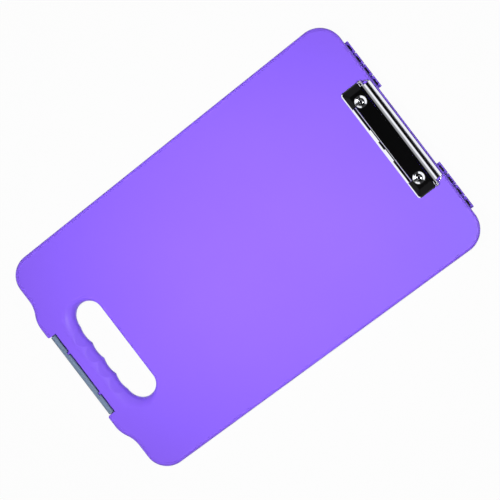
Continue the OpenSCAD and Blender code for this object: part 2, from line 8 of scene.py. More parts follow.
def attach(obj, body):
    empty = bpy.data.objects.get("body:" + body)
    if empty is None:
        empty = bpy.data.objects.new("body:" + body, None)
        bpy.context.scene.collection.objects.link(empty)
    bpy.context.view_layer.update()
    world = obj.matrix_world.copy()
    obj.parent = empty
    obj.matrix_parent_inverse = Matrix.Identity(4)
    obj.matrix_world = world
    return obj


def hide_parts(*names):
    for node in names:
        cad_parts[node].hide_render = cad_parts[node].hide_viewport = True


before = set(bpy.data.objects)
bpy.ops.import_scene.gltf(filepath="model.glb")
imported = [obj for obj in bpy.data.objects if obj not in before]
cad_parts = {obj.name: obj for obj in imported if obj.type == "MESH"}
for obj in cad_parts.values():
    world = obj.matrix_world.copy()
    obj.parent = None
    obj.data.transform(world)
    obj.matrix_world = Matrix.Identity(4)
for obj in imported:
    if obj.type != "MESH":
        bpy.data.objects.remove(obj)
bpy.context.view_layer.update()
MM = 0.001


# ---- Camera ---------------------------------------------------------------------------------
# It hangs straight over the writing face on a long lens, turned so that the case lies
# aslant in the picture, hinge to the upper right. 464 mm of the face fills the picture.
camera_height, seen_width, slant = 4.0, 0.4636, 52.6
middle_x, middle_y = 2.56, 4.35
base_h, lid_h = 17.5, 10.5
top_z = base_h + lid_h
camera = bpy.data.objects.new("camera", bpy.data.cameras.new("camera"))
bpy.context.scene.collection.objects.link(camera)
camera.data.sensor_width = 36
camera.data.lens = camera.data.sensor_width * camera_height / seen_width
camera.location = (middle_x * MM, middle_y * MM, top_z * MM + camera_height)
camera.rotation_euler = (0, 0, radians(slant))
bpy.context.scene.camera = camera
bpy.context.scene.view_settings.view_transform = "Standard"


# ---- Room light, lamps and floor ------------------------------------------------------------
# A studio that is dark overhead, where the camera hangs, with soft panels low down in front of
# the case and behind it, and a white line at the horizon. A soft lamp lights the board, and a
# smaller one, to the right of the hinge end, glints on its edges. The floor is white paper.
class Wire:
    """One output of a shader node. Sums written with wires become Math nodes."""

    def __init__(self, recipe, socket):
        self.recipe = recipe
        self.socket = socket

    def other(self, name):
        """Another output of the same node."""
        return Wire(self.recipe, self.socket.node.outputs[name])

    def sum(self, operation, *values):
        return self.recipe.node("ShaderNodeMath", {"operation": operation}, dict(enumerate(values)))

    def __add__(self, value):
        return self.sum("ADD", self, value)

    def __radd__(self, value):
        return self.sum("ADD", value, self)

    def __sub__(self, value):
        return self.sum("SUBTRACT", self, value)

    def __rsub__(self, value):
        return self.sum("SUBTRACT", value, self)

    def __mul__(self, value):
        return self.sum("MULTIPLY", self, value)

    def __rmul__(self, value):
        return self.sum("MULTIPLY", value, self)

    def __truediv__(self, value):
        return self.sum("DIVIDE", self, value)

    def __rtruediv__(self, value):
        return self.sum("DIVIDE", value, self)


class Recipe:
    """The shader nodes of one finish, of the room or of the floor."""

    def __init__(self, tree):
        self.tree = tree
        tree.nodes.clear()

    def node(self, kind, settings={}, sockets={}, output=0):
        node = self.tree.nodes.new(kind)
        for name, value in settings.items():
            if name == "stops":
                ramp = node.color_ramp.elements
                while len(ramp) < len(value):
                    ramp.new(0.5)
                for stop, (place, colour) in zip(ramp, value):
                    stop.position = place
                    stop.color = (*colour, 1)
            else:
                setattr(node, name, value)
        for name, value in sockets.items():
            if isinstance(value, Wire):
                self.tree.links.new(value.socket, node.inputs[name])
            else:
                node.inputs[name].default_value = value
        return Wire(self, node.outputs[output]) if node.outputs else node

    def blend(self, share, first, second):
        """From the first colour to the second, by share."""
        return self.node("ShaderNodeMix", {"data_type": "RGBA"},
                         {"Factor": share, 6: first, 7: second}, output=2)


world = bpy.data.worlds.new("studio")
world.use_nodes = True
bpy.context.scene.world = world
room = Recipe(world.node_tree)
across = room.node("ShaderNodeSeparateXYZ", {}, {0: room.node("ShaderNodeTexCoord")})
along, up = across.other("Y"), across.other("Z")
level_part = up.sum("SQRT", 1.0001 - up * up)
across, along = across / level_part, along / level_part


def panel(*stops):
    """Brightness by height over the horizon, 0 level and 1 straight up."""
    return room.node("ShaderNodeValToRGB", {"stops": [
        (height, (level, level, level * 1.03)) for height, level in stops]}, {0: up})


def between(value, low, high):
    """Runs smoothly from 0 to 1 while value goes from low to high."""
    return room.node("ShaderNodeMapRange", {"interpolation_type": "SMOOTHSTEP"},
                     {"Value": value, "From Min": low, "From Max": high})


horizon = [(0.0, 1.0), (0.06, 1.0)]
overhead = [(0.64, 0.02), (0.8, 0.014), (1.0, 0.003)]
far_panel = [(0.59, 1.05), (0.64, 0.34), (0.69, 0.3), (0.76, 0.02), (1.0, 0.003)]
dark = panel(*horizon, (0.08, 0.05), (0.3, 0.035), *overhead)
front = panel((0.0, 1.1), (0.27, 1.1), (0.42, 0.05), *overhead)
behind = panel(*horizon, (0.08, 0.05), (0.28, 0.06), (0.37, 1.05), *far_panel)
beside = panel((0.0, 1.05), *far_panel)
sideways = across * across
to_the_ends = between(sideways, 0.68, 0.86)
light = room.blend(between(sideways, 0.03, 0.08), behind, beside)
light = room.blend(between(along, -0.25, 0.25), room.blend(to_the_ends, front, dark),
                   room.blend(to_the_ends, light, dark))
matt_share = 0.2
ray = room.node("ShaderNodeLightPath")
room.node("ShaderNodeOutputWorld", {}, {0: room.node("ShaderNodeBackground", {}, {
    "Color": light, "Strength": 1 - (1 - matt_share) * ray.other("Is Diffuse Ray")})})

lit_spot = Vector((0, 0.035, 0))
for lamp_name, place, size, beam, watts, in_metal in [
        ("lamp_over", (-0.03, -0.28, 1.23), 0.25, 46, 1.13, False),
        ("lamp_right", (0.27, 0.42, 1.19), 0.22, 180, 2.8, True)]:
    lamp = bpy.data.objects.new(lamp_name, bpy.data.lights.new(lamp_name, "AREA"))
    bpy.context.scene.collection.objects.link(lamp)
    lamp.data.size = size
    lamp.data.spread = radians(beam)
    lamp.data.energy = watts
    lamp.location = place
    lamp.rotation_euler = (lit_spot - lamp.location).to_track_quat("-Z", "Y").to_euler()
    lamp.visible_camera = False
    lamp.visible_glossy = in_metal

floor_half, floor_z = 3.0, -0.0002
floor_bm = bmesh.new()
bmesh.ops.create_grid(floor_bm, x_segments=1, y_segments=1, size=floor_half,
                      matrix=Matrix.Translation((0, 0, floor_z)))
floor_mesh = bpy.data.meshes.new("floor")
floor_bm.to_mesh(floor_mesh)
floor = bpy.data.objects.new("floor", floor_mesh)
bpy.context.scene.collection.objects.link(floor)
paper = bpy.data.materials.new("studio_paper")
paper.use_nodes = True
sheet = Recipe(paper.node_tree)
lit = sheet.node("ShaderNodeBsdfDiffuse", {}, {"Color": (0.4, 0.4, 0.4, 1)})
white = sheet.node("ShaderNodeEmission", {}, {"Color": (1, 1, 1, 1), "Strength": 1.0})
ray = sheet.node("ShaderNodeLightPath")
seen = ray.sum("MAXIMUM", ray, ray.other("Is Glossy Ray"))
seen = ray.sum("MAXIMUM", seen, ray.other("Is Transmission Ray"))
shadow_share = 0.03
sheet.node("ShaderNodeOutputMaterial", {}, {0: sheet.node(
    "ShaderNodeMixShader", {}, {0: seen * (1 - shadow_share), 1: lit, 2: white})})
floor_mesh.materials.append(paper)


# ---- Lid ------------------------------------------------------------------------------------
# The writing board is the case's lid: one shallow injection moulding in satin violet plastic,
# hollow below, with the upper half of the hand hole, of the latch notch and of the hinge.
case_len, foot_out, knuckle_out = 377.9, 7.1, 3.8
wall, face_t, edge_r = 2.2, 2.4, 3.0
y_foot = -(foot_out + case_len + knuckle_out) / 2
y_latch = y_foot + foot_out
y_hinge = y_latch + case_len
latch_half_w, hinge_half_w = 119.1, 127.3
latch_corner_r, hinge_corner_r = 22.0, 24.0
foot_x, sweep_w = 56.4, 28.0
notch_w, notch_d, notch_r = 90.8, 8.4, 1.9
y_notch = y_foot + notch_d
taper = atan((hinge_half_w - latch_half_w) / case_len)
sweep_a = 2 * atan(foot_out / sweep_w)
sweep_r = sweep_w / 2 / sin(sweep_a)
overcut = 1.0


def side_x(y):
    """Half the width over the side walls at y."""
    return latch_half_w + (hinge_half_w - latch_half_w) * (y - y_latch) / case_len


def line_to(bm, start, x, y, z=None):
    """Carries a line of edges on, straight to a point."""
    end = bm.verts.new((x * MM, y * MM, start.co.z if z is None else z * MM))
    bm.edges.new((start, end))
    return end


def arc_about(bm, start, x, y, angle, steps):
    """Carries a line of edges on, round an upright axis."""
    turned = bmesh.ops.spin(bm, geom=[start], cent=(x * MM, y * MM, 0), axis=(0, 0, 1),
                            angle=angle, steps=steps, use_duplicate=False)
    return [v for v in turned["geom_last"] if isinstance(v, bmesh.types.BMVert)][0]


def mirrored(bm):
    """Adds the left half to a right half that ends on the middle line."""
    bmesh.ops.mirror(bm, geom=bm.verts[:] + bm.edges[:] + bm.faces[:], axis="X",
                     merge_dist=0.00001)
    return bm


def raised(bm, height, axis=(0, 0, 1)):
    """Draws a flat face out into a solid."""
    drawn = bmesh.ops.extrude_face_region(bm, geom=bm.faces[:], use_keep_orig=True)
    bmesh.ops.translate(bm, vec=Vector(axis) * height * MM,
                        verts=[v for v in drawn["geom"] if isinstance(v, bmesh.types.BMVert)])
    bmesh.ops.recalc_face_normals(bm, faces=bm.faces[:])
    return bm


def case_slab(inset, low, high):
    """The case's outline, drawn in by inset, as a solid between two heights."""
    bm = bmesh.new()
    at = bm.verts.new((0, (y_foot + inset) * MM, low * MM))
    at = line_to(bm, at, foot_x, y_foot + inset)
    at = arc_about(bm, at, foot_x, y_foot + sweep_r, sweep_a, 12)
    at = arc_about(bm, at, foot_x + sweep_w, y_latch - sweep_r, -sweep_a, 12)
    corner_y = y_latch + latch_corner_r
    corner_x = side_x(corner_y) - latch_corner_r / cos(taper)
    at = line_to(bm, at, corner_x, y_latch + inset)
    at = arc_about(bm, at, corner_x, corner_y, pi / 2 - taper, round(latch_corner_r))
    corner_y = y_hinge - hinge_corner_r
    corner_x = side_x(corner_y) - hinge_corner_r / cos(taper)
    at = line_to(bm, at, corner_x + (hinge_corner_r - inset) * cos(taper),
                 corner_y - (hinge_corner_r - inset) * sin(taper))
    at = arc_about(bm, at, corner_x, corner_y, pi / 2 + taper, round(hinge_corner_r))
    line_to(bm, at, 0, y_hinge - inset)
    mirrored(bm)
    bmesh.ops.contextual_create(bm, geom=bm.edges[:])
    return raised(bm, high - low)


def rounded(bm, radius, steps, chosen):
    """Rounds the edges that chosen picks."""
    bmesh.ops.bevel(bm, geom=[e for e in bm.edges if chosen(e)], offset=radius * MM,
                    segments=steps, profile=0.5, affect="EDGES", material=-1)
    return bm


def level_at(z):
    """Picks the edges that lie level at a height."""
    return lambda e: all(abs(v.co.z - z * MM) < 0.00001 for v in e.verts)


def turns_by(angle):
    """Picks the edges where two faces meet at more than an angle."""
    return lambda e: e.calc_face_angle(0) > angle


def as_object(bm, name):
    bmesh.ops.recalc_face_normals(bm, faces=bm.faces[:])
    mesh = bpy.data.meshes.new(name)
    bm.to_mesh(mesh)
    bm.free()
    made = bpy.data.objects.new(name, mesh)
    bpy.context.scene.collection.objects.link(made)
    return made


def with_modifiers(piece):
    """A piece's mesh as its modifiers leave it."""
    bpy.context.view_layer.update()
    return bpy.data.meshes.new_from_object(
        piece.evaluated_get(bpy.context.evaluated_depsgraph_get()))


def worked(bm, name, *steps):
    """Cuts tools out of a solid, or adds them to it, in turn. A step is ("DIFFERENCE", tool)."""
    piece = as_object(bm, name)
    tools = []
    for how, tool in steps:
        tools.append(tool if isinstance(tool, bpy.types.Object) else as_object(tool, "tool"))
        change = piece.modifiers.new("change", "BOOLEAN")
        change.operation, change.solver, change.object = how, "EXACT", tools[-1]
    shaped = with_modifiers(piece)
    piece.modifiers.clear()
    piece.data = shaped
    shaped.name = name
    for tool in tools:
        bpy.data.objects.remove(tool)
    return piece


def reopened(piece, place=Matrix()):
    """A solid taken back into a bmesh, and put where it belongs."""
    bm = bmesh.new()
    bm.from_mesh(piece.data)
    bpy.data.objects.remove(piece)
    bm.transform(place)
    return bm


def finished(piece, material, body, node, sharp=32):
    """Smooths a piece's rounded faces, paints it and puts it in place of its CAD node."""
    clean = bmesh.new()
    clean.from_mesh(piece.data)
    bmesh.ops.remove_doubles(clean, verts=clean.verts[:], dist=0.000002)
    bmesh.ops.dissolve_degenerate(clean, edges=clean.edges[:], dist=0.000002)
    clean.to_mesh(piece.data)
    clean.free()
    piece.data.shade_smooth()
    piece.data.set_sharp_from_angle(angle=radians(sharp))
    even = piece.modifiers.new("even_shading", "WEIGHTED_NORMAL")
    even.keep_sharp = True
    even.weight = 80
    piece.data.materials.clear()
    piece.data.materials.append(material)
    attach(piece, body)
    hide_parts(node)


hole_w, hole_h, bar_w, hole_corner_r = 106.4, 26.6, 21.9, 12.9
y_hole = y_notch + bar_w + hole_h / 2
y_hole_corner = y_hole + hole_h / 2 - hole_corner_r
grip_round, end_round, straight_round = 14.5, 6.5, 2.0
finger_pitch, finger_depth, finger_sink, finger_reach = 18.0, 1.5, 1.3, 12.5
half_span = 2 * finger_pitch
low_corner = hole_w / 2 - half_span, hole_h - hole_corner_r
span_steps, flare_steps = 48, 28


def way_out(p):
    """The level direction out of the hole's throat at a point of its edge."""
    wide, high = low_corner if p.y < y_hole_corner else (hole_corner_r, hole_corner_r)
    beyond = max(abs(p.x) - (hole_w / 2 - wide), 0) * (1 if p.x > 0 else -1)
    return Vector((beyond / wide ** 2, (p.y - y_hole_corner) / high ** 2)).normalized()


def flared(p, angle, h, spread):
    """Where a point of the throat's edge lies once the flare has turned by an angle, 90 degrees
    in the throat and 0 on the face. The flare is widest over the bar, where the grooves run."""
    out = way_out(p)
    mean = (straight_round + grip_round) / 2
    width = end_round + (mean - grip_round) * out.y + (mean - end_round) * out.y ** 2
    run = width * (1 - sin(angle))
    groove = 0
    if out.y < -0.9999 and abs(p.x) < half_span:
        share = 1 - (2 * ((p.x + half_span) / finger_pitch % 1) - 1) ** 2
        groove = max(0, share - (run / finger_reach) ** 2)
    sunk = finger_sink * groove * min(1, 2 * run / finger_reach)
    place = p + out.to_3d() * (run + finger_depth * groove + spread)
    place.z = h - min(width, h) * (1 - cos(angle)) - sunk
    return place


def hand_hole(h, spread):
    """The room that the hand hole takes out of a half of height h, wider all round by spread."""
    bm = bmesh.new()
    home = bm.verts.layers.float_vector.new("home")
    at = bm.verts.new((0, (y_hole - hole_h / 2) * MM, 0))
    for step in range(1, span_steps + 1):
        at = line_to(bm, at, half_span * step / span_steps, y_hole - hole_h / 2)
    # the corner beside the grooves is a quarter of an ellipse, turned as a circle and stretched
    wide, high = low_corner
    at.co.y = (y_hole_corner - wide) * MM
    straight = len(bm.verts) - 1
    at = arc_about(bm, at, half_span, y_hole_corner, pi / 2, 20)
    bm.verts.ensure_lookup_table()
    for v in bm.verts[straight:]:
        v.co.y = y_hole_corner * MM + (v.co.y - y_hole_corner * MM) * high / wide
    at = arc_about(bm, at, hole_w / 2 - hole_corner_r, y_hole_corner, pi / 2, 16)
    line_to(bm, at, 0, y_hole + hole_h / 2)
    mirrored(bm)
    for v in bm.verts:
        v[home] = v.co
    bmesh.ops.contextual_create(bm, geom=bm.edges[:])
    for v in bm.verts:
        v.co = flared(v[home] / MM, pi / 2, h, spread) * MM
        v.co.z = -overcut * MM
    edge = bm.edges[:]
    for step in range(flare_steps + 2):
        edge = bmesh.ops.extrude_edge_only(bm, edges=edge)["geom"]
        for v in [v for v in edge if isinstance(v, bmesh.types.BMVert)]:
            angle = pi / 2 * max(1 - step / flare_steps, 0)
            v.co = flared(v[home] / MM, angle, h, spread) * MM
            if step > flare_steps:
                v.co.z = (h + overcut) * MM
        edge = [e for e in edge if isinstance(e, bmesh.types.BMEdge)]
    bmesh.ops.contextual_create(bm, geom=edge)
    return bm


def latch_notch(grow, h):
    """The room for the latch, between the two feet. Where it opens, the feet are rounded."""
    bm = bmesh.new()
    half = notch_w / 2 + grow
    mouth_y = y_foot - edge_r
    at = bm.verts.new((0, (y_notch + grow) * MM, -overcut * MM))
    at = line_to(bm, at, half, y_notch + grow)
    if grow:
        at = line_to(bm, at, half, mouth_y)
    else:
        at = line_to(bm, at, half, y_foot + notch_r)
        at = arc_about(bm, at, half + notch_r, y_foot + notch_r, pi / 2, 8)
        at = line_to(bm, at, half + notch_r, mouth_y)
    line_to(bm, at, 0, mouth_y)
    mirrored(bm)
    bmesh.ops.contextual_create(bm, geom=bm.edges[:])
    return raised(bm, h + 2 * overcut)


def half_case(h, name):
    """One half of the case, from the parting line at z = 0 out to its face at z = h."""
    hollow = worked(case_slab(wall, -overcut, h - face_t), "hollow",
                    ("DIFFERENCE", hand_hole(h, wall)), ("DIFFERENCE", latch_notch(wall, h)))
    outside = rounded(case_slab(0, 0, h), edge_r, 8, level_at(h))
    rounded(outside, 0.35, 2, level_at(0))
    return worked(outside, name, ("DIFFERENCE", hollow), ("DIFFERENCE", hand_hole(h, 0)),
                  ("DIFFERENCE", latch_notch(0, h)))


def bar(radius, low_x, high_x, y, z, steps=32):
    """A round bar along X."""
    bm = bmesh.new()
    middle = Matrix.Translation(Vector(((low_x + high_x) / 2, y, z)) * MM)
    bmesh.ops.create_cone(bm, cap_ends=True, segments=steps, radius1=radius * MM,
                          radius2=radius * MM, depth=(high_x - low_x) * MM,
                          matrix=middle @ Matrix.Rotation(pi / 2, 4, "Y"))
    return bm


def block(low, high):
    """A block between two corners."""
    bm = bmesh.new()
    low, high = Vector(low) * MM, Vector(high) * MM
    size = Matrix.Diagonal((*(high - low), 1))
    bmesh.ops.create_cube(bm, size=1, matrix=Matrix.Translation((low + high) / 2) @ size)
    return bm


def together(*parts):
    """Gathers separate solids into one mesh."""
    whole = bmesh.new()
    for part in parts:
        lump = bpy.data.meshes.new("lump")
        part.to_mesh(lump)
        part.free()
        whole.from_mesh(lump)
        bpy.data.meshes.remove(lump)
    return whole


def pair(make):
    """The same solids on the right and, mirrored, on the left."""
    right, left = make(), make()
    bmesh.ops.scale(left, vec=(-1, 1, 1), verts=left.verts[:])
    bmesh.ops.reverse_faces(left, faces=left.faces[:])
    return together(right, left)


def drawn_section(points, low_x, length):
    """A closed section, given as (y, z), drawn out along X."""
    bm = bmesh.new()
    bm.faces.new([bm.verts.new((low_x * MM, y * MM, z * MM)) for y, z in points])
    return raised(bm, length, (1, 0, 0))


block_in, block_len, knuckle_gap, knuckle_r = 30.2, 53.2, 0.6, 2.4
knuckle_pitch = block_len / 4
block_x = hinge_half_w - block_in - block_len
y_pin = y_hinge + knuckle_out - knuckle_r
leaf_h, pin_r, pin_cover = 2.1, 1.1, 1.0
slot_len, slot_w = 6.4, 1.8


def knuckle_x(k):
    """Where the k-th knuckle of a block begins."""
    return block_x + k * knuckle_pitch


def knuckle(low_x, high_x, leaf_z):
    """One knuckle. Its section runs from the leaf round the barrel and back to the leaf."""
    bm = bmesh.new()
    leaf_a = asin(-leaf_z / knuckle_r)
    first = bm.verts.new((0, -knuckle_r * cos(leaf_a) * MM, leaf_z * MM))
    turned = bmesh.ops.spin(bm, geom=[first], cent=(0, 0, 0), axis=(1, 0, 0),
                            angle=2 * pi - leaf_a, steps=30, use_duplicate=False)
    at = [v for v in turned["geom_last"] if isinstance(v, bmesh.types.BMVert)][0]
    root_y = y_hinge - wall / 2 - y_pin
    for z in (leaf_z + leaf_h, leaf_z):
        at = line_to(bm, at, 0, root_y, z)
    bm.edges.new((at, first))
    bmesh.ops.contextual_create(bm, geom=bm.edges[:])
    bmesh.ops.translate(bm, verts=bm.verts[:], vec=Vector((low_x, y_pin, base_h)) * MM)
    raised(bm, high_x - low_x, (1, 0, 0))
    return rounded(bm, 0.25, 2, lambda e: abs(e.verts[0].co.x - e.verts[1].co.x) < 0.000001
                   and any(abs(f.normal.x) > 0.9 for f in e.link_faces))


def knuckles(first, leaf_z):
    """Every second knuckle of each hinge block, with the leaf that it stands on."""
    return pair(lambda: together(*[
        knuckle(knuckle_x(k) + knuckle_gap / 2, knuckle_x(k + 1) - knuckle_gap / 2, leaf_z)
        for k in (first, first + 2)]))


def pockets(first):
    """Room in one half for the other half's knuckles."""
    return pair(lambda: together(*[
        bar(knuckle_r + knuckle_gap / 2, knuckle_x(k), knuckle_x(k + 1), y_pin, base_h)
        for k in (first, first + 2)]))


def pin_bores(radius, cover):
    return pair(lambda: bar(radius, block_x + cover, block_x + block_len - cover, y_pin, base_h))


def pin_slots():
    """The moulded openings over the rod, one in each knuckle."""
    return pair(lambda: together(*[
        block((knuckle_x(k + 0.5) - slot_len / 2, y_pin - slot_w / 2, base_h),
              (knuckle_x(k + 0.5) + slot_len / 2, y_pin + slot_w / 2, base_h + 2 * knuckle_r))
        for k in range(4)]))


def moulded_plastic(name, colour, shade, roughness, grain):
    """Injection-moulded plastic: a fine eroded grain, and a faint drift in colour and gloss."""
    made = bpy.data.materials.new(name)
    made.use_nodes = True
    mix = Recipe(made.node_tree)
    place = mix.node("ShaderNodeTexCoord", output=3)
    drift = mix.node("ShaderNodeTexNoise", {}, {
        "Vector": place, "Scale": 9.0, "Detail": 3.0, "Roughness": 0.55})
    fine = mix.node("ShaderNodeTexNoise", {}, {
        "Vector": place, "Scale": 1900.0, "Detail": 2.0, "Roughness": 0.6})
    soft = mix.node("ShaderNodeTexNoise", {}, {"Vector": place, "Scale": 60.0, "Detail": 2.0})
    bump = mix.node("ShaderNodeBump", {}, {
        "Strength": grain, "Distance": 0.00006, "Height": fine + soft * 0.6})
    mix.node("ShaderNodeOutputMaterial", {}, {0: mix.node("ShaderNodeBsdfPrincipled", {}, {
        "Base Color": mix.blend(drift, (*colour, 1), (*shade, 1)),
        "Roughness": roughness + (drift - 0.5) * 0.08 + (soft - 0.5) * 0.05,
        "Normal": bump, "IOR": 1.49})})
    return made


violet = moulded_plastic("violet_plastic", (0.262, 0.124, 0.99), (0.282, 0.136, 1.0), 0.36, 0.25)

# where the latch's rod and the clip's rivets go
latch_r, latch_gap, latch_drop, latch_rod_r = 2.6, 0.8, 0.6, 1.0
latch_rod_y = y_notch - latch_gap - latch_r
latch_rod_z = top_z - latch_drop - latch_r
lug_x, lug_t, lug_r = 23.5, 2.2, 1.7
mouth_half_x, mouth_half_y, mouth_low, mouth_high = 1.2, 1.8, 0.3, 2.4
clip_half, clip_in, lever_d, roll_r, housing_d, pass_gap = 60.9, 2.5, 9.3, 2.0, 19.2, 0.3
y_lever = y_hinge - clip_in - lever_d
y_rear = y_lever - roll_r - pass_gap
y_rim = y_rear - housing_d
rivet_end, rivet_in, rivet_r = 16.6, 11.9, 1.6
rivet_x, rivet_y = clip_half - rivet_end, y_rim + rivet_in
boss_h, boss_r = 2.5, 3.6


def at_lugs(make):
    """The same solid at the left lug and at the right one."""
    return together(*[make(side * lug_x) for side in (-1, 1)])


def lug(x):
    """A short round bar, in which the rod turns."""
    return bar(lug_r, x - lug_t / 2, x + lug_t / 2, latch_rod_y, latch_rod_z, 24)


def lug_arm(x):
    """The arm that carries a lug out from the lid's wall."""
    section = [(0, -1.1), (4.5, -1.1), (4.5, -3.4), (0.9, -1.5)]
    return drawn_section([(latch_rod_y + y, latch_rod_z + z) for y, z in section],
                         x - lug_t / 2, lug_t)


def lug_opening(x):
    """Room over a lug, through which the rod snaps in."""
    return block((x - mouth_half_x, latch_rod_y - mouth_half_y, latch_rod_z + mouth_low),
                 (x + mouth_half_x, latch_rod_y + mouth_half_y, latch_rod_z + mouth_high))


def rivet_posts(radius, low, high):
    """Two upright round bars at the rivets."""
    bm = bmesh.new()
    for side in (-1, 1):
        middle = Vector((side * rivet_x, rivet_y, (low + high) / 2)) * MM
        bmesh.ops.create_cone(bm, cap_ends=True, segments=48, radius1=radius * MM,
                              radius2=radius * MM, depth=(high - low) * MM,
                              matrix=Matrix.Translation(middle))
    return bm


latch_rod_half = notch_w / 2 + 0.8 * wall
lid_half = reopened(half_case(lid_h, "lid_half"), Matrix.Translation((0, 0, base_h * MM)))
writing_lid = worked(
    lid_half, "writing_lid", ("DIFFERENCE", pockets(0)), ("UNION", knuckles(1, 0)),
    ("UNION", at_lugs(lug)), ("DIFFERENCE", at_lugs(lug_opening)), ("UNION", at_lugs(lug_arm)),
    ("UNION", rivet_posts(boss_r, top_z - face_t / 2, top_z + boss_h)),
    ("DIFFERENCE", pin_bores(pin_r + 0.05, 0.7)), ("DIFFERENCE", pin_slots()),
    ("DIFFERENCE", bar(latch_rod_r, -latch_rod_half, latch_rod_half, latch_rod_y, latch_rod_z)),
    ("DIFFERENCE", rivet_posts(rivet_r, top_z - 5, top_z + 4)))
finished(writing_lid, violet, "lid", "lid_shell")


# ---- Tray -----------------------------------------------------------------------------------
# The lower half of the case, moulded in the same violet plastic. Papers lie in it. A low rim
# stands up inside the lid. In the notch a ledge holds the latch, with a low guard below it.
rim_gap, rim_t, rim_h, rim_root = 0.3, 1.3, 2.0, 3.0
rim_in, rim_low = wall + rim_gap, base_h - rim_root
rim = worked(
    case_slab(rim_in, rim_low, base_h + rim_h), "rim",
    ("UNION", case_slab(wall * 0.8, rim_low, base_h - 0.4)),
    ("DIFFERENCE", case_slab(rim_in + rim_t, rim_low - overcut, base_h + rim_h + overcut)),
    ("DIFFERENCE", latch_notch(rim_in, 40)))

ledge_out, ledge_low, ledge_t, ledge_end = 1.9, 5.9, 1.8, 4.0
in_wall = y_notch + wall / 2
ledge_half, ledge_top, ledge_y = notch_w / 2 - ledge_end, ledge_low + ledge_t, y_notch - ledge_out
ledge = drawn_section(
    [(in_wall, ledge_low), (ledge_y, ledge_low), (ledge_y, ledge_top - ledge_out / 2),
     (ledge_y + ledge_out / 2, ledge_top), (in_wall, ledge_top)], -ledge_half, 2 * ledge_half)

guard_out, guard_h, guard_y = 1.2, 1.8, y_foot + 2.4
guard_half = notch_w / 2 + wall / 2
room_half = notch_w / 2 - guard_out
guard = worked(
    block((-guard_half, guard_y, 0), (guard_half, in_wall, guard_h)), "guard",
    ("DIFFERENCE", block((-room_half, guard_y - overcut, -overcut),
                         (room_half, y_notch - guard_out, guard_h + 1.2))))

turned_over = Matrix.Translation((0, 0, base_h * MM)) @ Matrix.Diagonal((1, 1, -1, 1))
tray_half = reopened(half_case(base_h, "tray_half"), turned_over)
bmesh.ops.reverse_faces(tray_half, faces=tray_half.faces[:])
case_tray = worked(
    tray_half, "case_tray", ("DIFFERENCE", pockets(1)), ("UNION", knuckles(0, -leaf_h)),
    ("UNION", rim), ("UNION", ledge), ("UNION", guard),
    ("DIFFERENCE", pin_bores(pin_r, pin_cover)), ("DIFFERENCE", pin_slots()))
finished(case_tray, violet, "base", "base_shell")


# ---- Latch ----------------------------------------------------------------------------------
# A blue-grey moulded flap that hangs from a rod in the notch. Its top is a roll, with a slot
# round each of the lid's two lugs. Below, a hook snaps under the tray's ledge.
latch_half, plate_in, hook_y = notch_w / 2 - latch_gap, -0.7, 2.5
lug_slot, slot_y = 3.3, 0.4
plate_a = asin(-plate_in / latch_r)
flap = bmesh.new()
start = flap.verts.new((-latch_half * MM, plate_in * MM, -latch_r * cos(plate_a) * MM))
turned = bmesh.ops.spin(flap, geom=[start], cent=(0, 0, 0), axis=(1, 0, 0),
                        angle=1.5 * pi + plate_a, steps=36, use_duplicate=False)
at = [v for v in turned["geom_last"] if isinstance(v, bmesh.types.BMVert)][0]
for y, z in [(-latch_r, -16.8), (-3.5, -21.6), (-3.5, -22.4), (-1.6, -22.4), (hook_y, -20.4),
             (hook_y, -19.2), (plate_in, -19.2)]:
    at = line_to(flap, at, -latch_half, y, z)
flap.edges.new((at, start))
bmesh.ops.contextual_create(flap, geom=flap.edges[:])
raised(flap, 2 * latch_half, (1, 0, 0))
rounded(flap, 0.35, 3, turns_by(0.3))
bmesh.ops.translate(flap, verts=flap.verts[:], vec=Vector((0, latch_rod_y, latch_rod_z)) * MM)


def lug_room(x):
    """Room round a lug, inside the roll."""
    return bar(2.0, x - lug_slot / 2, x + lug_slot / 2, latch_rod_y, latch_rod_z)


def lug_slot_room(x):
    """The slot that runs from a lug to the roll's inner side."""
    return block((x - lug_slot / 2, latch_rod_y + slot_y, latch_rod_z - latch_r - 1),
                 (x + lug_slot / 2, latch_rod_y + latch_r + 0.5, latch_rod_z + latch_r + 1))


snap_latch = worked(
    flap, "snap_latch", ("DIFFERENCE", at_lugs(lug_room)), ("DIFFERENCE", at_lugs(lug_slot_room)),
    ("DIFFERENCE", bar(latch_rod_r + 0.05, -50, 50, latch_rod_y, latch_rod_z)))
blue_grey = moulded_plastic("latch_plastic", (0.175, 0.245, 0.355), (0.205, 0.280, 0.395), 0.36, 0.2)
finished(snap_latch, blue_grey, "latch", "latch")


# ---- Clip housing ---------------------------------------------------------------------------
# Pressed from one piece of sheet steel and chromed: a flat top with gently sloping ends and
# front wings, a steep edge, two dished rivet seats, a window for the jaw, and two ears.
clip_h, sheet_t, clip_corner_r = 5.6, 0.8, 3.5
edge_in, shoulder_z, bevel_z = 1.3, 3.6, 2.5
end_slope, front_slope, top_corner_r = 7.5, 5.6, 1.4
wing_w, window_d, jaw_pin_in = 18.1, 5.5, 13.2
window_half, window_rear = clip_half - wing_w, y_rim + window_d
dish_r, ear_r, ear_t, ear_x = 6.0, 2.2, 1.2, clip_half - 1.3
z_lever, y_jaw, z_jaw = clip_h - roll_r, y_rim + jaw_pin_in, 3.3
eye_r, eye_w, eye_neck = 1.2, 1.6, 1.1
jaw_half = 30.5
jaw_lug_x = jaw_half + pass_gap


